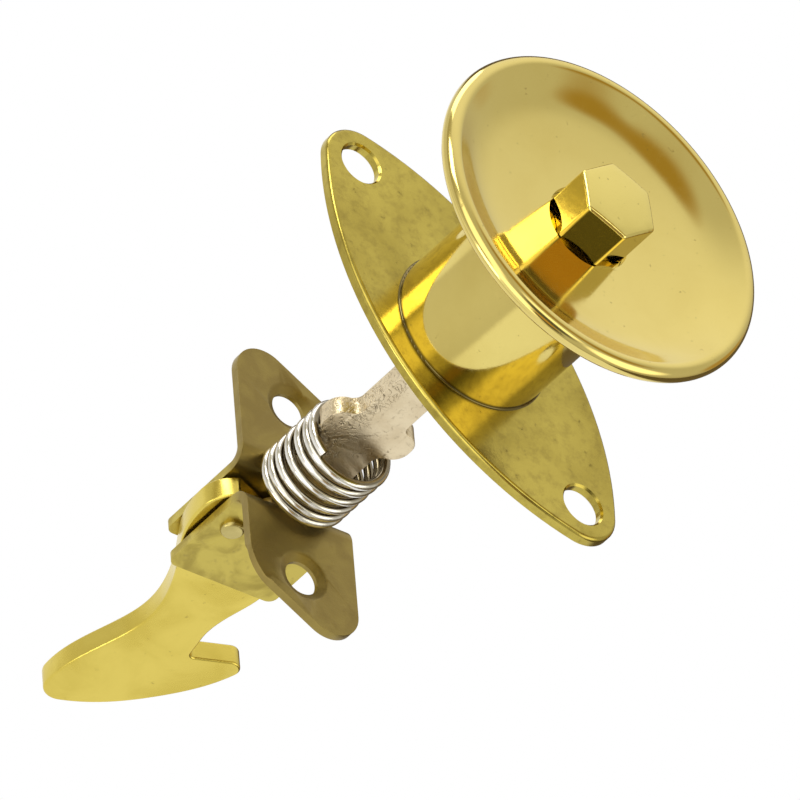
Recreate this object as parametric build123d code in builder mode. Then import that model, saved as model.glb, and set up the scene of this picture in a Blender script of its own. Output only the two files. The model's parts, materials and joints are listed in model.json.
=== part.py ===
import os
from math import atan, cos, degrees, radians, sin, sqrt, tan

from build123d import *

os.makedirs("parts", exist_ok=True)

# A pushbutton latch for a cabinet door. Millimetres. The button slides on the Z axis, the door's
# front face is z = 0, and the hook swings in the XZ plane with its barb towards +X.

# Mounting flange on the door face: a pointed oval with its tips struck about the screw holes
flange_width = 21.6
flange_tip_radius = 3.85
flange_thickness = 1.1
flange_edge_round = 0.4
flange_turn = 126.5
trim_screw_spacing = 38.1
trim_screw_hole = 4.2
screw_hole_break = 0.2

# Neck between the flange and the dish, with a spigot staked into the flange
neck_diameter = 16.4
neck_wall = 1.3
neck_foot_flare = 0.2
spigot_wall = 0.9
spigot_fit = 0.02

# Dish behind the button: a spun sheet, hollowed to a sphere, with a rolled bead round its rim
dish_diameter = 35.0
dish_hollow_radius = 85.0
dish_floor = 18.9
dish_sheet = 0.8
bead_diameter = 1.6
bead_rise = 0.05
lip_blend_radius = 1.6

# Hexagonal button, its stop collar under the dish and its slotted stem
button_across_flats = 7.55
button_proud = 5.05
button_corner_round = 0.5
button_front_round = 0.35
button_crown_radius = 40.0
button_turn = 34.0
button_hole_clearance = 0.1
collar_diameter = 12.4
collar_thickness = 1.6
collar_clearance = 0.08
stem_diameter = 6.8
stem_length = 10.5
stem_slot_depth = 7.5
stem_slot_clearance = 0.05
stem_end_break = 0.3
cross_pin_diameter = 1.6
cross_pin_height = 3.5

# Flat push bar, its wings over the spring and the round knob that turns the hook
bar_thickness = 1.9
bar_width = 5.0
wing_span = 9.6
wing_height = 3.9
wing_corner_radius = 1.7
wing_root_radius = 1.0
bar_foot_corner = 0.9
knob_radius = 1.5
knob_neck_width = 1.6
knob_clearance = 0.15
knob_neck_clearance = 0.3

# Brackets behind the door: bent strips with an ear for a screw and a cheek for the hook. The ear
# has one straight side and one that slants in from its shoulder to a round tip
door_thickness = 26.2
bracket_width = 12.0
bracket_sheet = 0.9
bracket_bend_radius = 1.2
cheek_clearance = 0.3
cheek_depth = 12.7
cheek_corner_radius = 0.9
ear_screw_spacing = 19.8
ear_shoulder = 10.7
ear_side_slope = 31.5
ear_tip_radius = 3.2
ear_screw_hole = 3.6
ear_countersink = 5.6
ear_countersink_depth = 0.5

# Pivot rivet through both cheeks and the hook
pivot_from_edge = 2.2
pivot_depth = 5.3
rivet_diameter = 1.8
rivet_head_diameter = 2.4
rivet_head_height = 0.55
pivot_clearance = 0.05

# Hook plate. Its outline is measured from the pivot: "back" and "front" are across, towards +X,
# and a drop is below the pivot
hook_thickness = 2.3
hook_head_radius = 3.3
hook_jaw_wall = 1.3
mouth_half_angle = 52.0
shoulder_back = -0.5
shoulder_drop = 8.0
shoulder_front = 9.5
waist_back = 2.2
waist_front = 8.4
waist_drop = 16.5
throat_front = 8.9
throat_drop = 19.4
throat_round = 0.6
barb_reach = 14.9
barb_drop = 17.2
barb_round = 1.1
belly_front = 10.0
belly_drop = 25.8
nose_back = -0.4
nose_front = 2.2
nose_drop = 31.1
nose_rise = 1.7
nose_radius = 2.0
hook_edge_break = 0.25

# Coil spring between the bracket ears and the wings
spring_diameter = 9.5
spring_wire = 0.95
spring_turns = 5.75
spring_seat_clearance = 0.02
spring_height = 9.0

# Travel of the button
button_travel = 2.2

# Sizes that follow from the ones above
ear_plane = -door_thickness
pivot_x = pivot_from_edge - bracket_width / 2
pivot_z = ear_plane - pivot_depth
lever = -pivot_x
half_swing = degrees(atan(button_travel / 2 / lever))
knob_height = pivot_z + button_travel / 2
wing_foot = ear_plane + spring_height + spring_seat_clearance
wing_top = wing_foot + wing_height
button_hole_radius = button_across_flats / sqrt(3) + button_hole_clearance
bead_radius = bead_diameter / 2
bead_circle_radius = dish_diameter / 2 - bead_radius
neck_radius = neck_diameter / 2
neck_bore_radius = neck_radius - neck_wall
spigot_radius = neck_bore_radius + spigot_wall
rivet_radius = rivet_diameter / 2


def dish_point(radius, below=0.0):
    """Point on the dish's hollow face, or as far below it as its sheet is thick."""
    sphere = dish_hollow_radius + below
    return (radius, dish_floor + dish_hollow_radius - sqrt(sphere**2 - radius**2))


def write(piece, name):
    """Label a finished piece and write it as its own file."""
    piece.label = name
    export_step(piece, f"parts/{name}.step")


# Dish with its rolled bead, spun round the button axis
with BuildPart() as dish:
    with BuildSketch(Plane.XZ):
        with BuildLine():
            face_middle = (button_hole_radius + bead_circle_radius) / 2
            ThreePointArc(
                dish_point(button_hole_radius),
                dish_point(face_middle),
                dish_point(bead_circle_radius),
            )
            Line(dish_point(bead_circle_radius), dish_point(bead_circle_radius, dish_sheet))
            ThreePointArc(
                dish_point(bead_circle_radius, dish_sheet),
                dish_point(face_middle, dish_sheet),
                dish_point(button_hole_radius, dish_sheet),
            )
            Line(dish_point(button_hole_radius, dish_sheet), dish_point(button_hole_radius))
        make_face()
        with Locations((bead_circle_radius, dish_point(bead_circle_radius)[1] + bead_rise)):
            Circle(bead_radius)
    revolve(axis=Axis.Z)
    lip_seam = dish.edges().filter_by(
        lambda edge: edge.geom_type == GeomType.CIRCLE
        and bead_circle_radius - bead_diameter < edge.radius < bead_circle_radius
    )
    fillet(lip_seam.sort_by(Axis.Z)[-1], lip_blend_radius)
write(dish.part, "dish")

# Neck, from its spigot in the flange up to the back of the dish
with BuildPart() as neck_sleeve:
    with BuildSketch(Plane.XZ):
        with BuildLine():
            foot_radius = neck_radius + neck_foot_flare
            Polyline(
                (neck_bore_radius, 0),
                (spigot_radius, 0),
                (spigot_radius, flange_thickness),
                (foot_radius, flange_thickness),
            )
            RadiusArc(
                (foot_radius, flange_thickness),
                (neck_radius, flange_thickness + neck_foot_flare),
                neck_foot_flare,
            )
            Line((neck_radius, flange_thickness + neck_foot_flare), dish_point(neck_radius, dish_sheet))
            ThreePointArc(
                dish_point(neck_radius, dish_sheet),
                dish_point(neck_radius - neck_wall / 2, dish_sheet),
                dish_point(neck_bore_radius, dish_sheet),
            )
            Line(dish_point(neck_bore_radius, dish_sheet), (neck_bore_radius, 0))
        make_face()
    revolve(axis=Axis.Z)
write(neck_sleeve.part, "neck_sleeve")

# Flange: two long arcs run tangent into round tips centred on the screw holes
with BuildPart() as mounting_flange:
    with BuildSketch(Plane.XY.rotated((0, 0, flange_turn))):
        tip_x = trim_screw_spacing / 2
        half_width = flange_width / 2
        side_radius = (tip_x**2 + half_width**2 - flange_tip_radius**2) / (
            2 * (half_width - flange_tip_radius)
        )
        tangent_x = tip_x * side_radius / (side_radius - flange_tip_radius)
        tangent_y = flange_tip_radius * (side_radius - half_width) / (side_radius - flange_tip_radius)
        with BuildLine():
            long_side = ThreePointArc((-tangent_x, tangent_y), (0, half_width), (tangent_x, tangent_y))
            tip = ThreePointArc(
                (tangent_x, tangent_y), (tip_x + flange_tip_radius, 0), (tangent_x, -tangent_y)
            )
            mirror(long_side, about=Plane.XZ)
            mirror(tip, about=Plane.YZ)
        make_face()
        Circle(spigot_radius + spigot_fit, mode=Mode.SUBTRACT)
        with PolarLocations(tip_x, 2):
            Circle(trim_screw_hole / 2, mode=Mode.SUBTRACT)
    extrude(amount=flange_thickness)
    front = mounting_flange.faces().sort_by(Axis.Z)[-1]
    fillet(front.outer_wire().edges(), flange_edge_round)
    screw_edges = mounting_flange.edges().filter_by(
        lambda edge: edge.geom_type == GeomType.CIRCLE and abs(edge.radius - trim_screw_hole / 2) < 1e-3
    )
    chamfer(screw_edges, screw_hole_break)
write(mounting_flange.part, "mounting_flange")

# Button: crowned hexagonal head, stop collar and slotted stem in one turned piece
button_front = dish_floor + button_proud
collar_top = dish_point(button_hole_radius, dish_sheet)[1] - collar_clearance
collar_foot = collar_top - collar_thickness
stem_foot = collar_foot - stem_length
slot_top = stem_foot + stem_slot_depth
pin_height = stem_foot + cross_pin_height
with BuildPart() as push_button:
    with BuildSketch(Plane.XY.offset(collar_top)):
        RegularPolygon(button_across_flats / sqrt(3), 6, rotation=button_turn)
    extrude(amount=button_front - collar_top)
    fillet(push_button.edges().filter_by(Axis.Z), button_corner_round)
    with BuildSketch(Plane.XZ):
        with BuildLine():
            crown_drop = button_crown_radius - sqrt(button_crown_radius**2 - button_hole_radius**2)
            Polyline(
                (0, button_front),
                (0, collar_top),
                (button_hole_radius, collar_top),
                (button_hole_radius, button_front - crown_drop),
            )
            RadiusArc(
                (button_hole_radius, button_front - crown_drop), (0, button_front), -button_crown_radius
            )
        make_face()
    revolve(axis=Axis.Z, mode=Mode.INTERSECT)
    front = push_button.faces().sort_by(Axis.Z)[-1]
    fillet(front.outer_wire().edges(), button_front_round)
    with BuildSketch(Plane.XY.offset(collar_foot)):
        Circle(collar_diameter / 2)
    extrude(amount=collar_thickness)
    with BuildSketch(Plane.XY.offset(stem_foot)):
        Circle(stem_diameter / 2)
    extrude(amount=stem_length)
    chamfer(push_button.faces().sort_by(Axis.Z)[0].outer_wire().edges(), stem_end_break)
    with BuildSketch(Plane.XY.offset(stem_foot)):
        Rectangle(stem_diameter, bar_thickness + 2 * stem_slot_clearance)
    extrude(amount=stem_slot_depth, mode=Mode.SUBTRACT)
    with BuildSketch(Plane.XZ):
        with Locations((0, pin_height)):
            Circle(cross_pin_diameter / 2)
    extrude(amount=stem_diameter / 2, both=True, mode=Mode.SUBTRACT)
write(push_button.part, "push_button")

# Pin that ties the bar into the button's stem
with BuildPart() as bar_pin:
    with BuildSketch(Plane.XZ):
        with Locations((0, pin_height)):
            Circle(cross_pin_diameter / 2)
    pin_reach = sqrt((stem_diameter / 2) ** 2 - (cross_pin_diameter / 2) ** 2)
    extrude(amount=pin_reach, both=True)
write(bar_pin.part, "bar_pin")

# Push bar: one stamping, from the button's slot down to the knob in the hook
knob_neck_top = knob_height + button_travel / 2 + hook_head_radius + knob_neck_clearance
with BuildPart() as push_bar:
    with BuildSketch(Plane.XZ):
        with Locations((0, (slot_top + knob_neck_top) / 2)):
            Rectangle(bar_width, slot_top - knob_neck_top)
        with Locations((0, (wing_foot + wing_top) / 2)):
            Rectangle(wing_span, wing_height)
        with Locations((0, (knob_height + knob_neck_top) / 2)):
            Rectangle(knob_neck_width, knob_neck_top - knob_height)
    extrude(amount=bar_thickness / 2, both=True)
    upright = push_bar.edges().filter_by(Axis.Y)
    wing_tips = upright.filter_by(lambda edge: abs(abs(edge.center().X) - wing_span / 2) < 1e-3)
    fillet(wing_tips, wing_corner_radius)
    upright = push_bar.edges().filter_by(Axis.Y)
    wing_roots = upright.filter_by(
        lambda edge: abs(abs(edge.center().X) - bar_width / 2) < 1e-3
        and wing_foot - 1e-3 < edge.center().Z < wing_top + 1e-3
    )
    fillet(wing_roots, wing_root_radius)
    upright = push_bar.edges().filter_by(Axis.Y)
    foot_corners = upright.filter_by(
        lambda edge: abs(abs(edge.center().X) - bar_width / 2) < 1e-3
        and abs(edge.center().Z - knob_neck_top) < 1e-3
    )
    fillet(foot_corners, bar_foot_corner)
    with BuildSketch(Plane.XZ):
        with Locations((0, knob_height)):
            Circle(knob_radius)
    extrude(amount=bar_thickness / 2, both=True)
    with BuildSketch(Plane.XZ):
        with Locations((0, pin_height)):
            Circle(cross_pin_diameter / 2)
    extrude(amount=bar_thickness, both=True, mode=Mode.SUBTRACT)
write(push_bar.part, "push_bar")

# Coil spring, its end turns ground flat
with BuildPart() as coil_spring:
    coil_radius = (spring_diameter - spring_wire) / 2
    pitch = spring_height / spring_turns
    with BuildLine():
        coil = Helix(pitch, spring_height, coil_radius, center=(0, 0, ear_plane))
    with BuildSketch(Plane(origin=coil @ 0, z_dir=coil % 0)):
        Circle(spring_wire / 2)
    sweep(is_frenet=True)
    split(bisect_by=Plane.XY.offset(ear_plane + spring_seat_clearance), keep=Keep.TOP)
    split(bisect_by=Plane.XY.offset(ear_plane + spring_height), keep=Keep.BOTTOM)
write(coil_spring.part, "coil_spring")

# Bracket blank: an L-bent strip with its ear trimmed and drilled for the door screw
cheek_inner = hook_thickness / 2 + cheek_clearance
cheek_outer = cheek_inner + bracket_sheet
ear_hole_y = ear_screw_spacing / 2
cheek_foot = ear_plane - cheek_depth
ear_peak = ear_shoulder + bracket_width * tan(radians(ear_side_slope))
with BuildPart() as bracket_blank:
    with BuildSketch(Plane.YZ):
        with BuildLine():
            Polyline(
                (cheek_inner, ear_plane),
                (ear_peak, ear_plane),
                (ear_peak, ear_plane - bracket_sheet),
                (cheek_outer, ear_plane - bracket_sheet),
                (cheek_outer, cheek_foot),
                (cheek_inner, cheek_foot),
                (cheek_inner, ear_plane),
            )
        make_face()
    extrude(amount=bracket_width / 2, both=True)
    bends = bracket_blank.edges().filter_by(Axis.X)
    outer_bend = bends.filter_by(
        lambda edge: abs(edge.center().Y - cheek_inner) < 1e-3 and abs(edge.center().Z - ear_plane) < 1e-3
    )
    fillet(outer_bend, bracket_bend_radius + bracket_sheet)
    bends = bracket_blank.edges().filter_by(Axis.X)
    inner_bend = bends.filter_by(
        lambda edge: abs(edge.center().Y - cheek_outer) < 1e-3
        and abs(edge.center().Z - ear_plane + bracket_sheet) < 1e-3
    )
    fillet(inner_bend, bracket_bend_radius)
    with BuildSketch(Plane.XY.offset(cheek_foot)) as ear_plan:
        with BuildLine():
            Polyline(
                (-bracket_width / 2, 0),
                (bracket_width / 2, 0),
                (bracket_width / 2, ear_shoulder),
                (-bracket_width / 2, ear_peak),
                (-bracket_width / 2, 0),
            )
        make_face()
        fillet(ear_plan.vertices().sort_by(Axis.Y)[-1], ear_tip_radius)
    extrude(amount=cheek_depth, mode=Mode.INTERSECT)
    fillet(bracket_blank.edges().filter_by(Axis.Y).group_by(Axis.Z)[0], cheek_corner_radius)
    with Locations((0, ear_hole_y, ear_plane)):
        Hole(ear_screw_hole / 2, bracket_sheet)
    with Locations((0, ear_hole_y, ear_plane - ear_countersink_depth / 2)):
        Cone(
            ear_screw_hole / 2, ear_countersink / 2, ear_countersink_depth, mode=Mode.SUBTRACT
        )

# The two brackets are the same stamping, one turned half round, each bored for the rivet
for turn, name in ((0, "upper_bracket"), (180, "lower_bracket")):
    with BuildPart() as bracket:
        add(bracket_blank.part, rotation=(0, 0, turn))
        with BuildSketch(Plane.XZ):
            with Locations((pivot_x, pivot_z)):
                Circle(rivet_radius)
        extrude(amount=cheek_outer, both=True, mode=Mode.SUBTRACT)
    write(bracket.part, name)

# Rivet: plain shank with a domed head against each cheek
with BuildPart() as pivot_rivet:
    with BuildSketch(Plane.XZ):
        with Locations((pivot_x, pivot_z)):
            Circle(rivet_radius)
    extrude(amount=cheek_outer, both=True)
    for side in (1, -1):
        with BuildSketch(Plane.XZ.offset(side * cheek_outer)):
            with Locations((pivot_x, pivot_z)):
                Circle(rivet_head_diameter / 2)
        extrude(amount=side * rivet_head_height)
    heads = pivot_rivet.faces().filter_by(Axis.Y).sort_by(Axis.Y)
    fillet(ShapeList([heads[0], heads[-1]]).edges(), rivet_head_height * 0.8)
write(pivot_rivet.part, "pivot_rivet")

# Hook, drawn at rest about its pivot: a round head, an open socket that the bar's knob turns in,
# a tapering shank, and a claw whose barb points at the keeper
socket_radius = knob_radius + knob_clearance
socket_reach = 2 * lever / (1 + cos(radians(half_swing)))
socket = (socket_reach * cos(radians(half_swing)), socket_reach * sin(radians(half_swing)))
jaw_radius = socket_radius + hook_jaw_wall
mouth_reach = 2 * jaw_radius
hook_plane = Plane(origin=(pivot_x, 0, pivot_z), x_dir=(1, 0, 0), z_dir=(0, -1, 0))


def mouth_corner(angle):
    """Corner of the socket's mouth, at an angle clockwise from straight up in the hook's plane."""
    return (mouth_reach * sin(radians(angle)), mouth_reach * cos(radians(angle)))


with BuildPart() as hook:
    with BuildSketch(hook_plane) as hook_outline:
        with BuildLine():
            head_left = (-hook_head_radius, 0)
            barb_tip = (barb_reach, -barb_drop)
            throat = (throat_front, -throat_drop)
            waist = (waist_front, -waist_drop)
            jaw_side = (socket[0] + jaw_radius, socket[1])
            nose = RadiusArc((nose_back, nose_rise - nose_drop), (nose_front, -nose_drop), -nose_radius)
            Spline(
                head_left,
                (shoulder_back, -shoulder_drop),
                (waist_back, -waist_drop),
                nose @ 0,
                tangents=((0, -1), nose % 0),
            )
            Spline(nose @ 1, (belly_front, -belly_drop), barb_tip, tangents=(nose % 1, (0.2, 1)))
            Line(barb_tip, throat)
            throat_side = Line(throat, waist)
            Spline(
                waist, (shoulder_front, -shoulder_drop), jaw_side, tangents=(throat_side % 1, (0, 1))
            )
            Line(jaw_side, head_left)
        make_face()
        fillet(hook_outline.vertices().sort_by_distance((*barb_tip, 0))[0], barb_round)
        fillet(hook_outline.vertices().sort_by_distance((*throat, 0))[0], throat_round)
        Circle(hook_head_radius)
        with Locations(socket):
            Circle(jaw_radius)
        with Locations(socket):
            Circle(socket_radius, mode=Mode.SUBTRACT)
            Polygon(
                (0, 0),
                mouth_corner(mouth_half_angle - half_swing),
                mouth_corner(-half_swing),
                mouth_corner(-mouth_half_angle - half_swing),
                align=None,
                mode=Mode.SUBTRACT,
            )
        Circle(rivet_radius + pivot_clearance, mode=Mode.SUBTRACT)
    extrude(amount=hook_thickness / 2, both=True)
    swung_edges = hook.edges().filter_by(Plane.XZ).filter_by(
        lambda edge: edge.center().Z < pivot_z - hook_head_radius
    )
    fillet(swung_edges, hook_edge_break)
write(hook.part, "hook")
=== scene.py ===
import json
from math import asin, cos, degrees, pi, radians, sin, sqrt, tan

import bmesh
import bpy
from mathutils import Matrix, Vector


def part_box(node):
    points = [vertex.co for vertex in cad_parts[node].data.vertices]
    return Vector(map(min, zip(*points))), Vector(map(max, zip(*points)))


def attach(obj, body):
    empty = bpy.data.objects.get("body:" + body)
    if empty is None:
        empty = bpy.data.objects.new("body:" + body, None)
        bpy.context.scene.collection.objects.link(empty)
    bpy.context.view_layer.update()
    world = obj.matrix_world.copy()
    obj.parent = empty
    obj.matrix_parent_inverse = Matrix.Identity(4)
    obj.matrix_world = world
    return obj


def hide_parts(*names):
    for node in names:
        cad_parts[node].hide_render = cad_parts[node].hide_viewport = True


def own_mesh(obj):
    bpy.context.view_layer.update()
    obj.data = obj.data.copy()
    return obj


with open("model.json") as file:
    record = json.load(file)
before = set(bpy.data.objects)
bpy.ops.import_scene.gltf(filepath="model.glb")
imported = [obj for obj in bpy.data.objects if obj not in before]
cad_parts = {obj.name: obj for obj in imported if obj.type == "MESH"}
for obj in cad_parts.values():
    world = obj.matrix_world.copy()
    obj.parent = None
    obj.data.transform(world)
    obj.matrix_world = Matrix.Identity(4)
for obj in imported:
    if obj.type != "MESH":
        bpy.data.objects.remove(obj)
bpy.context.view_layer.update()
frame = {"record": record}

MM = 0.001

# Places and sizes that the pieces share, read from the frame
JOINTS = {joint["name"]: joint for joint in frame["record"]["behaviour"]["joints"]}
MOUNTS = {mount["name"]: mount for mount in frame["record"]["mounts"]}
EAR_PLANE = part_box("upper_bracket")[1][2]
WING_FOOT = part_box("coil_spring")[1][2]
NECK_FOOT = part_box("mounting_flange")[1][2] + 0.15 * MM
BUTTON_TRAVEL = JOINTS["button_press"]["range_m"][1]

# The ears' screw holes, across the button's axis, and how far their countersinks reach
EAR_HOLE_PLACE = MOUNTS["bracket_screws"]["dims"]["pcd_mm"] / 2 * MM
EAR_HOLES = ((0, EAR_HOLE_PLACE), (0, -EAR_HOLE_PLACE))
HOLE_REACH = 3.0 * MM

# Wound wire, foot first: numbers of turns and their pitch in millimetres, closed at both ends
WIRE_RADIUS = 0.475 * MM
COIL_RADIUS = 4.275 * MM
WIRE_SIDES = 16
STEPS_A_TURN = 64
TURNS_AND_PITCH = ((1.4, 1.0), (1.2, 1.3), (2.3, 1.65), (0.8, 1.3), (0.9, 1.0))

# Spun dish, in millimetres: a shallow hollow that rises into a softly rolled lip, drawn in degree steps
DISH_FLOOR = 18.9
HOLLOW_RADIUS = 85.0
HOLE_RADIUS = 4.46
RIM_RADIUS = 17.495
SHEET = 0.8
RISE_FROM = 11.0
RISE_TO = 15.2
RISE_ANGLE = radians(17)
STEEPEST_RADIUS = RIM_RADIUS - 1.5
LIP_RADIUS = 1.0
LIP_UNDERSIDE = 0.75
BACK_EDGE = 16.0
HOLLOW_STEPS = 90
BACK_STEPS = 20
LIP_STEP = 5
UNDERSIDE_STEP = 10
SPIN_STEPS = 192

# Corners: where shading breaks, and how far each piece's edges are rounded
SHARP_ANGLE = radians(28)
SHOULDER_ANGLE = radians(70)
HOOK_SHARP_ANGLE = radians(55)
FLAT_ANGLE = radians(0.2)
JOIN_DISTANCE = 0.001 * MM
SPUN_JOIN_DISTANCE = 0.0001 * MM
BUTTON_EDGE = 0.36 * MM
BAR_EDGE = 0.2 * MM
BRACKET_EDGE = 0.1 * MM
EDGE_STEPS = 3
SHOULDER_ROUND = 2.5 * MM
SHOULDER_STEPS = 6

# Camera: front left of the latch and a little above it, rolled; the origin shows at its pixel
CAMERA_AZIMUTH = radians(-38.58)
CAMERA_ELEVATION = radians(37.42)
CAMERA_ROLL = radians(47.86)
CAMERA_DISTANCE = 1.5
PIXELS_PER_MM = 10.91
PICTURE_SIDE = 800
ORIGIN_PIXEL = (465.0, 339.8)
SENSOR_WIDTH = 36.0
NEAREST_SEEN = 0.01
FARTHEST_SEEN = 50.0

# Floor: white paper on a brown table, with the paper's edge, a soft ring of shadow and a dim far side.
# Each fade is a pair of distances from the latch's axis, where it starts and where it ends.
FLOOR_DROP = 0.25
FLOOR_SIDE = 6.0
PAPER_WHITE = (0.9, 0.9, 0.9)
TABLE_BROWN = (0.16, 0.13, 0.09)
PAPER_EDGE_SIDE = (0.94, 0.34, 0)
PAPER_EDGE = (0.20, 0.30)
RING_INSIDE = (0.28, 0.31)
RING_OUTSIDE = (0.38, 0.42)
RING_SIDE = (-0.97, -0.23, 0)
RING_SIDE_FADE = (0.20, 0.24)
RING_DEPTH = 0.6
FAR_SIDE = (-0.50, 0.87, 0)
FAR_FADE = (0.26, 0.50)
FAR_DEPTH = 0.5

# Room: pale above a darker low part, with one broad window side
WHITE = (1.0, 1.0, 1.0)
ROOM_LOW = (0.50, 0.46, 0.38)
ROOM_HIGH = (0.63, 0.61, 0.55)
HORIZON_FADE = (-0.05, 0.25)
WINDOW_SIDE = (0.12, 0.92, 0.38)
WINDOW_SPREAD = radians(54)
WINDOW_LIGHT = (1.05, 1.03, 1.0)

# Patches of the room that the metal mirrors: direction, degrees where it fades out and is full, colour
ROOM_PATCHES = (
    ((0.17, 0.21, 0.96), 18, 6, (0.42, 0.28, 0.07)),
    ((0.47, 0.06, 0.88), 15, 4, (0.42, 0.28, 0.07)),
    ((0.97, 0.20, 0.14), 17, 9, (0.50, 0.34, 0.13)),
    ((0.58, -0.57, 0.58), 26, 14, (1.80, 1.75, 1.60)),
    ((-0.83, -0.17, 0.53), 28, 17, (1.80, 1.75, 1.60)),
    ((0.02, -0.40, 0.91), 17, 9, (1.70, 1.65, 1.50)),
    ((-0.74, 0.64, 0.15), 34, 16, (0.50, 0.46, 0.34)),
    ((-0.61, -0.74, 0.21), 26, 14, (1.90, 1.85, 1.70)),
    ((-0.14, -0.68, 0.72), 19, 9, (0.13, 0.13, 0.10)),
    ((-0.25, -0.92, 0.30), 14, 8, (0.15, 0.13, 0.09)),
    ((-0.24, -0.85, 0.48), 10, 5, (0.62, 0.36, 0.10)),
)


class Value:
    """A shader socket that Python's operators can work on."""

    def __init__(self, finish, socket):
        self.finish = finish
        self.socket = socket

    def maths(self, operation, other, swapped=False):
        numbers = {0: other, 1: self} if swapped else {0: self, 1: other}
        return self.finish.node("ShaderNodeMath", {"operation": operation}, numbers)

    def __add__(self, other):
        return self.maths("ADD", other)

    def __sub__(self, other):
        return self.maths("SUBTRACT", other)

    def __mul__(self, other):
        return self.maths("MULTIPLY", other)

    def __radd__(self, other):
        return self.maths("ADD", other)

    def __rsub__(self, other):
        return self.maths("SUBTRACT", other, swapped=True)

    def __rmul__(self, other):
        return self.maths("MULTIPLY", other)

    def between(self, low, high):
        """0 at low, 1 at high, smooth in between."""
        settings = {"interpolation_type": "SMOOTHSTEP"}
        inputs = {"Value": self, "From Min": low, "From Max": high}
        return self.finish.node("ShaderNodeMapRange", settings, inputs)

    def part(self, axis):
        """One coordinate of a place or direction."""
        return self.finish.node("ShaderNodeSeparateXYZ", None, {0: self}, output=axis)

    def length(self):
        """How long this place or direction is."""
        settings = {"operation": "LENGTH"}
        return self.finish.node("ShaderNodeVectorMath", settings, {0: self}, output="Value")

    def toward(self, direction):
        """How far this place or direction reaches along another direction."""
        settings = {"operation": "DOT_PRODUCT"}
        along = Vector(direction).normalized()
        return self.finish.node("ShaderNodeVectorMath", settings, {0: self, 1: along}, output="Value")


class Finish:
    """The nodes of one material, or of the surround, built one by one."""

    def __init__(self, holder):
        holder.use_nodes = True
        self.holder = holder
        self.tree = holder.node_tree
        self.tree.nodes.clear()

    def node(self, kind, settings=None, inputs=None, output=0):
        """One node, settings first, then what its sockets hold or are linked to; gives one output."""
        made = self.tree.nodes.new(kind)
        for name, setting in (settings or {}).items():
            setattr(made, name, setting)
        for name, value in (inputs or {}).items():
            socket = made.inputs[name]
            if isinstance(value, Value):
                self.tree.links.new(value.socket, socket)
            elif socket.type == "RGBA":
                socket.default_value = (*value, 1.0)
            else:
                socket.default_value = value
        return Value(self, made.outputs[output])

    def place(self):
        """Where on the piece, in metres from the latch's origin."""
        return self.node("ShaderNodeTexCoord", output="Object")

    def off_axis(self):
        """How far from the button's axis."""
        flat = self.node("ShaderNodeMapping", None, {"Vector": self.place(), "Scale": (1, 1, 0)})
        return flat.length()

    def noise(self, scale, detail=3.0, roughness=0.55, distortion=0.0):
        """Cloudy noise from 0 to 1; scale counts its lumps in a metre."""
        inputs = {
            "Vector": self.place(),
            "Scale": scale,
            "Detail": detail,
            "Roughness": roughness,
            "Distortion": distortion,
        }
        return self.node("ShaderNodeTexNoise", None, inputs)

    def blend(self, amount, first, second):
        """The first colour at an amount of 0, the second one at 1."""
        inputs = {0: amount, 6: first, 7: second}
        return self.node("ShaderNodeMix", {"data_type": "RGBA"}, inputs, output=2)

    def blend_shaders(self, amount, first, second):
        return self.node("ShaderNodeMixShader", None, {0: amount, 1: first, 2: second})

    def bump(self, height, strength, distance):
        inputs = {"Height": height, "Strength": strength, "Distance": distance}
        return self.node("ShaderNodeBump", None, inputs)

    def metal(self, colour, roughness, normal):
        """End in bare metal, and give the finished material."""
        inputs = {"Base Color": colour, "Metallic": 1.0, "Roughness": roughness, "Normal": normal}
        self.shade(self.node("ShaderNodeBsdfPrincipled", None, inputs))
        return self.holder

    def shade(self, shader):
        """End in the shader, as a material's surface or as the world's."""
        lights_world = isinstance(self.holder, bpy.types.World)
        kind = "ShaderNodeOutputWorld" if lights_world else "ShaderNodeOutputMaterial"
        self.tree.links.new(shader.socket, self.tree.nodes.new(kind).inputs["Surface"])


def new_finish(name):
    return Finish(bpy.data.materials.new(name))


def darker(colour, share):
    return tuple(share * channel for channel in colour)


# Finishes; each pair holds the two places between which painted shade or a mark fades in or out

FOOT_SHADE_FADE = (NECK_FOOT, NECK_FOOT + 0.35 * MM)
EAR_SHADE_FADE = (EAR_PLANE - 3.2 * MM, EAR_PLANE - 0.9 * MM)
SCRIBBLED_EDGE = (-2.2 * MM, -0.6 * MM)
WIRE_SHADE_FADE = (COIL_RADIUS + 0.12 * MM, COIL_RADIUS + 0.36 * MM)


def polished_brass(name, bright, dull, roughness, clouding, waviness, mottle=0.0, shade_the_foot=False):
    """Buffed brass with faint clouds of tarnish, a few specks and scratches and, if asked, painted shade
    darkening its foot where it meets the flange.
    """
    # freckle is tarnish; the second colour is painted shade for the foot's seam
    freckle, foot_shade_colour = (0.26, 0.19, 0.04), (0.10, 0.075, 0.03)
    finish = new_finish(name)
    clouds = finish.noise(110, detail=5, distortion=0.4).between(0.35, 0.8)
    specks = finish.noise(1500, detail=2).between(0.68, 0.78)
    scratches = finish.noise(1300, detail=3).between(0.5, 0.75)
    colour = finish.blend(clouds * clouding, bright, dull)
    if mottle:
        freckled = finish.noise(750, detail=5, roughness=0.7).between(0.42, 0.72)
        colour = finish.blend(freckled * mottle, colour, freckle)
    # painted shade: darker toward the neck's foot, where it meets the flange
    if shade_the_foot:
        foot_shade = 1 - finish.place().part(2).between(*FOOT_SHADE_FADE)
        colour = finish.blend(foot_shade * 0.9, colour, foot_shade_colour)
    colour = finish.blend(specks * 0.4, colour, darker(dull, 0.4))
    rough = roughness + clouds * (0.10 * clouding) + scratches * 0.05 + specks * 0.15
    waves = finish.noise(150, detail=2) + scratches * 0.05
    return finish.metal(colour, rough, finish.bump(waves, strength=waviness, distance=0.06 * MM))


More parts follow.
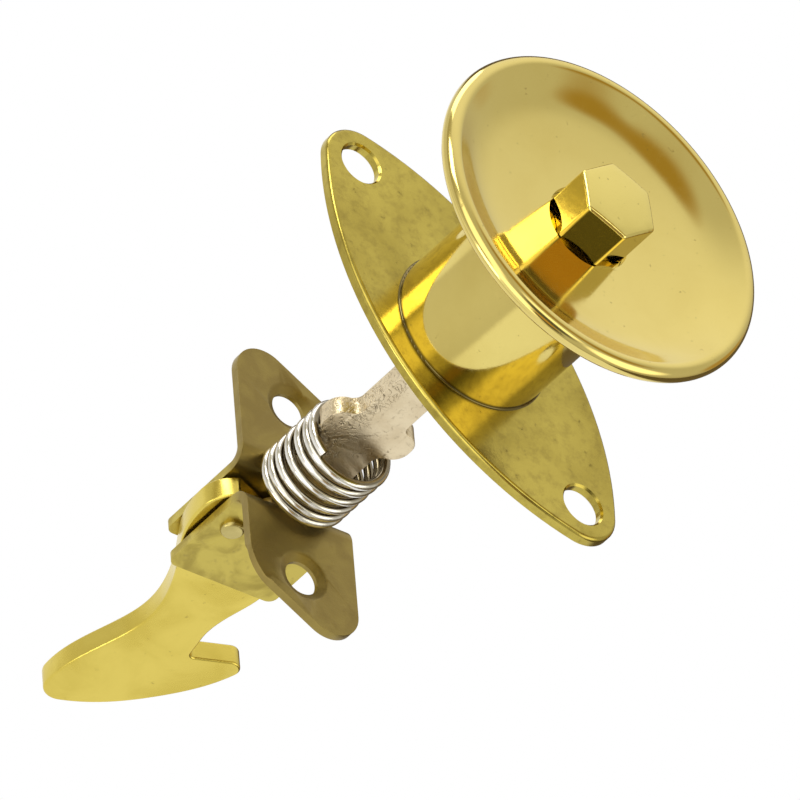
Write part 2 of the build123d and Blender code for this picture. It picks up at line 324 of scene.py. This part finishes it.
def satin_brass(name, bright, dull, dark, roughness):
    """Stamped plate brass, softly rubbed, with freckles of tarnish."""
    finish = new_finish(name)
    clouds = finish.noise(170, detail=5, distortion=0.5).between(0.35, 0.75)
    freckles = finish.noise(1100, detail=3, roughness=0.6).between(0.66, 0.76)
    grain = finish.noise(5200, detail=2)
    colour = finish.blend(clouds, bright, dull)
    colour = finish.blend(freckles * 0.55, colour, dark)
    rough = roughness + clouds * 0.08 + grain * 0.08
    relief = grain + clouds * 0.5
    return finish.metal(colour, rough, finish.bump(relief, strength=0.12, distance=0.03 * MM))


def bracket_sheet(name, bright, dull, stain_and_ear_shade):
    """Sheet brass left in its mill finish: blotchy cheeks with stains, and ears darkened by painted shade.
    """
    finish = new_finish(name)
    blotches = finish.noise(330, detail=5, distortion=0.7).between(0.38, 0.68)
    stains = finish.noise(900, detail=4).between(0.55, 0.72)
    grain = finish.noise(4500, detail=2)
    # painted shade: the ears, at the top of the bracket, are painted darker; the same colour also tints the
    # stains
    ear_shade = finish.place().part(2).between(*EAR_SHADE_FADE)
    colour = finish.blend(blotches, bright, dull)
    colour = finish.blend(stains * 0.4, colour, stain_and_ear_shade)
    colour = finish.blend(ear_shade * (0.86 + blotches * 0.08), colour, stain_and_ear_shade)
    rough = 0.32 + blotches * 0.10 + grain * 0.06
    relief = grain + blotches * 0.6
    return finish.metal(colour, rough, finish.bump(relief, strength=0.3, distance=0.04 * MM))


def tumbled_steel(name, bright, dull, roughness, dents, scribbled=False):
    """Thinly plated steel with a sandy skin, small dents and, if asked, scribbles along one edge."""
    finish = new_finish(name)
    blotches = finish.noise(330, detail=4).between(0.35, 0.7)
    grain = finish.noise(4200, detail=3)
    dips = finish.noise(1500, detail=3, distortion=1.2).between(0.55, 0.72)
    colour = finish.blend(blotches, bright, dull)
    colour = finish.blend(dips * 0.35, colour, darker(dull, 0.6))
    relief = grain * 0.5 - dips * dents
    if scribbled:
        edge = 1 - finish.place().part(0).between(*SCRIBBLED_EDGE)
        tangle = finish.noise(650, detail=1, distortion=2.5)
        scribble = tangle.between(0.47, 0.50) * (1 - tangle.between(0.53, 0.56)) * edge
        colour = finish.blend(scribble * 0.35, colour, darker(dull, 0.5))
        relief = relief - scribble * 2.5
    rough = roughness + grain * 0.12
    return finish.metal(colour, rough, finish.bump(relief, strength=0.5, distance=0.08 * MM))


def spring_wire(name, bright, dull, inner_shade):
    """Drawn wire, with painted shade darkening its inner side, toward the coil's axis, between the turns.
    """
    finish = new_finish(name)
    blotches = finish.noise(420, detail=4).between(0.35, 0.7)
    grain = finish.noise(3800, detail=2)
    # painted shade: the wire is darker on its side toward the coil's axis
    unshaded_outside = finish.off_axis().between(*WIRE_SHADE_FADE)
    colour = finish.blend(blotches, bright, dull)
    colour = finish.blend(unshaded_outside, inner_shade, colour)
    rough = 0.10 + grain * 0.10
    return finish.metal(colour, rough, finish.bump(grain, strength=0.25, distance=0.04 * MM))


dish_brass = polished_brass(
    "dish_brass", bright=(0.765, 0.625, 0.205), dull=(0.70, 0.55, 0.155),
    roughness=0.085, clouding=0.5, waviness=0.10,
)
neck_brass = polished_brass(
    "neck_brass", bright=(0.78, 0.64, 0.20), dull=(0.62, 0.48, 0.12),
    roughness=0.07, clouding=0.6, waviness=0.25, shade_the_foot=True,
)
flange_brass = polished_brass(
    "flange_brass", bright=(0.56, 0.45, 0.09), dull=(0.40, 0.31, 0.055),
    roughness=0.15, clouding=1.0, waviness=0.5, mottle=0.45,
)
button_brass = polished_brass(
    "button_brass", bright=(0.79, 0.655, 0.20), dull=(0.64, 0.52, 0.14),
    roughness=0.06, clouding=0.6, waviness=0.2,
)
hook_brass = satin_brass(
    "hook_brass", bright=(0.74, 0.59, 0.12), dull=(0.64, 0.50, 0.085), dark=(0.34, 0.25, 0.05),
    roughness=0.17,
)
rivet_brass = satin_brass(
    "rivet_brass", bright=(0.62, 0.52, 0.20), dull=(0.44, 0.36, 0.12), dark=(0.22, 0.16, 0.06),
    roughness=0.22,
)
bracket_brass = bracket_sheet(
    "bracket_brass", bright=(0.59, 0.48, 0.105), dull=(0.42, 0.33, 0.07), stain_and_ear_shade=(0.285, 0.21, 0.065),
)
bar_steel = tumbled_steel(
    "bar_steel", bright=(0.80, 0.68, 0.46), dull=(0.68, 0.56, 0.36),
    roughness=0.26, dents=0.4, scribbled=True,
)
pin_steel = tumbled_steel(
    "pin_steel", bright=(0.70, 0.64, 0.50), dull=(0.55, 0.49, 0.36),
    roughness=0.28, dents=0.2,
)
spring_steel = spring_wire(
    "spring_steel", bright=(0.88, 0.86, 0.80), dull=(0.64, 0.61, 0.53), inner_shade=(0.24, 0.20, 0.13),
)


# Pieces

def mark_sharp(bm, limit=SHARP_ANGLE):
    """Shade smooth over every edge that bends less than the limit."""
    for edge in bm.edges:
        edge.smooth = edge.calc_face_angle(pi) < limit
    for face in bm.faces:
        face.smooth = True


def round_edges(bm, edges, offset, steps):
    """Turn these edges into round ones that start this far from them."""
    bmesh.ops.bevel(
        bm, geom=edges, offset=offset, offset_type="OFFSET", segments=steps, profile=0.5,
        affect="EDGES", clamp_overlap=True, material=-1, loop_slide=True,
    )


def add_piece(name, node, bm, body, finish):
    """Stand the finished mesh in for a CAD node, on the node's body."""
    mesh = bpy.data.meshes.new(name)
    bm.to_mesh(mesh)
    bm.free()
    mesh.materials.append(finish)
    piece = bpy.data.objects.new(name, mesh)
    bpy.context.scene.collection.objects.link(piece)
    keep_flat = piece.modifiers.new("flat faces stay flat", "WEIGHTED_NORMAL")
    keep_flat.keep_sharp = True
    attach(piece, body)
    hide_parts(node)
    return piece


def joined_copy(node):
    """The node's own mesh, with its loose triangles joined."""
    bm = bmesh.new()
    bm.from_mesh(bpy.data.objects[node].data)
    bmesh.ops.remove_doubles(bm, verts=bm.verts, dist=JOIN_DISTANCE)
    return bm


def show_copy(bm, node, body, finish, sharp_from=SHARP_ANGLE):
    """Shade the node's copy and stand it in for the node."""
    mark_sharp(bm, sharp_from)
    add_piece(f"{node}_shown", node, bm, body, finish)


def smooth_piece(node, body, finish, sharp_from=SHARP_ANGLE):
    """The node's own shape, shaded smooth over its curves."""
    show_copy(joined_copy(node), node, body, finish, sharp_from)


def round_and_show(bm, edges, edge_round, node, body, finish):
    """Round the copy's edges, cut the many-sided faces that this leaves, and show it."""
    round_edges(bm, edges, edge_round, EDGE_STEPS)
    bmesh.ops.triangulate(bm, faces=[face for face in bm.faces if len(face.verts) > 4])
    show_copy(bm, node, body, finish)


def edge_rounded_piece(node, body, finish, edge_round):
    """The node's own shape with its flat faces made whole and its sharp edges rounded."""
    bm = joined_copy(node)
    bmesh.ops.dissolve_limit(
        bm, angle_limit=FLAT_ANGLE, use_dissolve_boundaries=False, verts=bm.verts, edges=bm.edges,
    )
    sharp = [edge for edge in bm.edges if edge.calc_face_angle(0) > SHARP_ANGLE]
    round_and_show(bm, sharp, edge_round, node, body, finish)


def stands_upright(edge):
    """Whether the edge runs along the button's axis, square to the door."""
    return (edge.verts[0].co.xy - edge.verts[1].co.xy).length < JOIN_DISTANCE


def clears_ear_holes(edge):
    return all((edge.verts[0].co.xy - Vector(hole)).length > HOLE_REACH for hole in EAR_HOLES)


def bracket_piece(node):
    """A bracket half with the ear's blunt corner rounded and soft edges everywhere but at the holes."""
    bm = joined_copy(node)
    shoulders = [
        edge for edge in bm.edges
        if stands_upright(edge) and SHARP_ANGLE < edge.calc_face_angle(0) < SHOULDER_ANGLE
    ]
    round_edges(bm, shoulders, SHOULDER_ROUND, SHOULDER_STEPS)
    sharp = [
        edge for edge in bm.edges
        if edge.calc_face_angle(0) > SHARP_ANGLE and clears_ear_holes(edge)
    ]
    round_and_show(bm, sharp, BRACKET_EDGE, node, "root", bracket_brass)


def hollow_height(radius, curve):
    """Height over the door of a ball of this curve, centred where the hollow's own ball is."""
    return DISH_FLOOR + HOLLOW_RADIUS - sqrt(curve**2 - radius**2)


def arc(centre, radius, angles):
    """Points round a centre at these angles, in degrees."""
    across, up = centre
    return [(across + radius * cos(radians(angle)), up + radius * sin(radians(angle))) for angle in angles]


def dish_section():
    """Half of the dish's section: out along the hollow, round the lip and back underneath."""
    steepest = asin(STEEPEST_RADIUS / HOLLOW_RADIUS) + RISE_ANGLE
    hollow_end = RIM_RADIUS - LIP_RADIUS * (1 + sin(steepest))
    step = (hollow_end - HOLE_RADIUS) / HOLLOW_STEPS
    radius = HOLE_RADIUS
    height = hollow_height(radius, HOLLOW_RADIUS)
    section = [(radius, height)]
    for _ in range(HOLLOW_STEPS):
        middle = radius + step / 2
        risen = min(1.0, max(0.0, (middle - RISE_FROM) / (RISE_TO - RISE_FROM)))
        slope = asin(middle / HOLLOW_RADIUS) + RISE_ANGLE * risen * risen * (3 - 2 * risen)
        radius += step
        height += step * tan(slope)
        section.append((radius, height))
    lip_height = height - LIP_RADIUS * cos(steepest)
    lip_start = 90 - LIP_STEP + round(degrees(steepest))
    lip_centre = (radius + LIP_RADIUS * sin(steepest), lip_height)
    section += arc(lip_centre, LIP_RADIUS, range(lip_start, -1, -LIP_STEP))
    underside_centre = (RIM_RADIUS - LIP_UNDERSIDE, lip_height)
    section += arc(underside_centre, LIP_UNDERSIDE, range(-UNDERSIDE_STEP, -91, -UNDERSIDE_STEP))
    for index in range(BACK_STEPS + 1):
        radius = BACK_EDGE + (HOLE_RADIUS - BACK_EDGE) * index / BACK_STEPS
        section.append((radius, hollow_height(radius, HOLLOW_RADIUS + SHEET)))
    return section


def spun_dish(name, finish):
    """The dish's section spun once round the button's axis."""
    bm = bmesh.new()
    ring = [bm.verts.new((radius * MM, 0, height * MM)) for radius, height in dish_section()]
    for first, second in zip(ring, ring[1:] + ring[:1]):
        bm.edges.new((first, second))
    bmesh.ops.spin(
        bm, geom=list(bm.verts) + list(bm.edges), cent=(0, 0, 0), axis=(0, 0, 1),
        angle=2 * pi, steps=SPIN_STEPS, use_merge=True, use_duplicate=False,
    )
    bmesh.ops.remove_doubles(bm, verts=bm.verts, dist=SPUN_JOIN_DISTANCE)
    bmesh.ops.recalc_face_normals(bm, faces=bm.faces)
    mark_sharp(bm)
    add_piece(name, "dish", bm, "root", finish)


def coil_rises():
    """How far the wire climbs at each step of the spin, easing from one pitch to the next."""
    rises = []
    for turns, pitch in TURNS_AND_PITCH:
        rises += [pitch * MM / STEPS_A_TURN] * round(turns * STEPS_A_TURN)
    reach = STEPS_A_TURN // 4
    near = [rises[max(0, step - reach) : step + reach] for step in range(len(rises))]
    eased = [sum(window) / len(window) for window in near]
    fit = (WING_FOOT - EAR_PLANE - 2 * WIRE_RADIUS) / sum(eased)
    return [rise * fit for rise in eased]


def coil(name, finish):
    """A ring of wire spun round the axis, lifted step by step."""
    rises = coil_rises()
    bm = bmesh.new()
    ring = bmesh.ops.create_circle(bm, segments=WIRE_SIDES, radius=WIRE_RADIUS, cap_ends=False)["verts"]
    foot = Matrix.Translation((COIL_RADIUS, 0, EAR_PLANE + WIRE_RADIUS))
    bmesh.ops.transform(bm, matrix=foot @ Matrix.Rotation(pi / 2, 4, "X"), verts=ring)
    bmesh.ops.spin(
        bm, geom=list(bm.verts) + list(bm.edges), cent=(0, 0, 0), axis=(0, 0, 1),
        angle=2 * pi * len(rises) / STEPS_A_TURN, steps=len(rises), use_merge=False, use_duplicate=False,
    )
    bm.verts.ensure_lookup_table()
    height = 0.0
    for index, rise in enumerate(rises, 1):
        height += rise
        for vert in bm.verts[index * WIRE_SIDES : (index + 1) * WIRE_SIDES]:
            vert.co.z += height
    bmesh.ops.holes_fill(bm, edges=[edge for edge in bm.edges if edge.is_boundary], sides=0)
    bmesh.ops.recalc_face_normals(bm, faces=bm.faces)
    mark_sharp(bm)
    piece = add_piece(name, "coil_spring", bm, "root", finish)
    keep = (WING_FOOT - EAR_PLANE - BUTTON_TRAVEL) / (WING_FOOT - EAR_PLANE)
    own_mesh(piece)


spun_dish("dish_shown", dish_brass)
smooth_piece("neck_sleeve", "root", neck_brass)
smooth_piece("mounting_flange", "root", flange_brass)
edge_rounded_piece("push_button", "plunger", button_brass, BUTTON_EDGE)
smooth_piece("bar_pin", "plunger", pin_steel)
edge_rounded_piece("push_bar", "plunger", bar_steel, BAR_EDGE)
bracket_piece("upper_bracket")
bracket_piece("lower_bracket")
smooth_piece("pivot_rivet", "root", rivet_brass)
smooth_piece("hook", "hook_plate", hook_brass, sharp_from=HOOK_SHARP_ANGLE)
coil("wound_spring", spring_steel)


# Studio: white paper on a table, a soft pale room and three softboxes

def seen_white(finish, share):
    """Where a ray shows the white background: straight to the camera, and in metal by the share."""
    path = "ShaderNodeLightPath"
    mirrored = finish.node(path, output="Is Glossy Ray") + finish.node(path, output="Is Transmission Ray")
    return finish.node(path, output="Is Camera Ray") + mirrored * share


def paper_share(finish):
    """How white the floor is: 1 on the paper, 0 on the table, and less in the shadows."""
    away = finish.off_axis()
    ring = away.between(*RING_INSIDE) * (1 - away.between(*RING_OUTSIDE))
    shadow = finish.place().toward(RING_SIDE).between(*RING_SIDE_FADE) * ring
    far = finish.place().toward(FAR_SIDE).between(*FAR_FADE)
    on_paper = 1 - finish.place().toward(PAPER_EDGE_SIDE).between(*PAPER_EDGE)
    return on_paper * (1 - shadow * RING_DEPTH) * (1 - far * FAR_DEPTH)


def add_floor():
    """One large sheet behind the latch that shows white, and that metal sees as paper and table."""
    bm = bmesh.new()
    bmesh.ops.create_grid(bm, x_segments=1, y_segments=1, size=FLOOR_SIDE)
    bmesh.ops.translate(bm, vec=(0, 0, -FLOOR_DROP), verts=bm.verts)
    mesh = bpy.data.meshes.new("floor")
    bm.to_mesh(mesh)
    bm.free()
    floor = bpy.data.objects.new("floor", mesh)
    bpy.context.scene.collection.objects.link(floor)
    finish = new_finish("pale_floor")
    paper = paper_share(finish)
    table_sheet = finish.node("ShaderNodeBsdfDiffuse", None, {"Color": TABLE_BROWN})
    paper_sheet = finish.node("ShaderNodeBsdfDiffuse", None, {"Color": PAPER_WHITE})
    lit = finish.blend_shaders(paper, table_sheet, paper_sheet)
    white = finish.node("ShaderNodeEmission", None, {"Color": WHITE, "Strength": 1.0})
    finish.shade(finish.blend_shaders(seen_white(finish, paper), lit, white))
    mesh.materials.append(finish.holder)


def light_surround():
    """Light the latch from all round with the room, which the camera itself sees as white."""
    world = bpy.data.worlds.new("surround")
    bpy.context.scene.world = world
    room = Finish(world)
    view = room.node("ShaderNodeTexCoord", output="Generated")
    colour = room.blend(view.part(2).between(*HORIZON_FADE), ROOM_LOW, ROOM_HIGH)
    window = view.toward(WINDOW_SIDE).between(cos(WINDOW_SPREAD), 1.0)
    colour = room.blend(window, colour, WINDOW_LIGHT)
    for direction, edge, core, shade in ROOM_PATCHES:
        patch = view.toward(direction).between(cos(radians(edge)), cos(radians(core)))
        colour = room.blend(patch, colour, shade)
    seen = room.node("ShaderNodeLightPath", output="Is Camera Ray")
    soft = room.node("ShaderNodeBackground", None, {"Color": colour})
    white = room.node("ShaderNodeBackground", None, {"Color": WHITE})
    room.shade(room.blend_shaders(seen, soft, white))


def add_softbox(name, place, side, power, aim=(0, 0, 0)):
    """A square lamp of this side, in metres, that faces its aim."""
    lamp = bpy.data.lights.new(name, "AREA")
    lamp.shape = "SQUARE"
    lamp.size = side
    lamp.energy = power
    softbox = bpy.data.objects.new(name, lamp)
    bpy.context.scene.collection.objects.link(softbox)
    turn = (Vector(aim) - Vector(place)).to_track_quat("-Z", "Y")
    softbox.matrix_world = Matrix.Translation(place) @ turn.to_matrix().to_4x4()


def place_camera():
    """The camera looks from azimuth and elevation, rolled, with the latch's origin at its pixel."""
    across = Vector((cos(CAMERA_AZIMUTH), sin(CAMERA_AZIMUTH), 0))
    level = cos(CAMERA_ELEVATION)
    back = Vector((sin(CAMERA_AZIMUTH) * level, -cos(CAMERA_AZIMUTH) * level, sin(CAMERA_ELEVATION)))
    up = back.cross(across)
    rolled_across = cos(CAMERA_ROLL) * across + sin(CAMERA_ROLL) * up
    rolled_up = back.cross(rolled_across)
    half = PICTURE_SIDE / 2
    left = (half - ORIGIN_PIXEL[0]) / PIXELS_PER_MM * MM
    above = (ORIGIN_PIXEL[1] - half) / PIXELS_PER_MM * MM
    turn = Matrix((rolled_across, rolled_up, back)).transposed()
    place = turn @ Vector((left, above, CAMERA_DISTANCE))
    lens = bpy.data.cameras.new("camera")
    lens.sensor_width = SENSOR_WIDTH
    lens.lens = PIXELS_PER_MM * CAMERA_DISTANCE / MM / PICTURE_SIDE * SENSOR_WIDTH
    lens.clip_start = NEAREST_SEEN
    lens.clip_end = FARTHEST_SEEN
    camera = bpy.data.objects.new("camera", lens)
    bpy.context.scene.collection.objects.link(camera)
    camera.matrix_world = Matrix.Translation(place) @ turn.to_4x4()
    bpy.context.scene.camera = camera


add_floor()
light_surround()
add_softbox("key_softbox", place=(-0.40, 0.32, 0.31), side=0.24, power=0.9)
add_softbox("fill_softbox", place=(-0.10, 0.55, 0.10), side=0.30, power=0.5)
add_softbox("edge_softbox", place=(-0.52, -0.28, -0.13), side=0.22, power=0.4, aim=(0, 0, -0.05))
place_camera()
bpy.context.scene.view_settings.view_transform = "Standard"
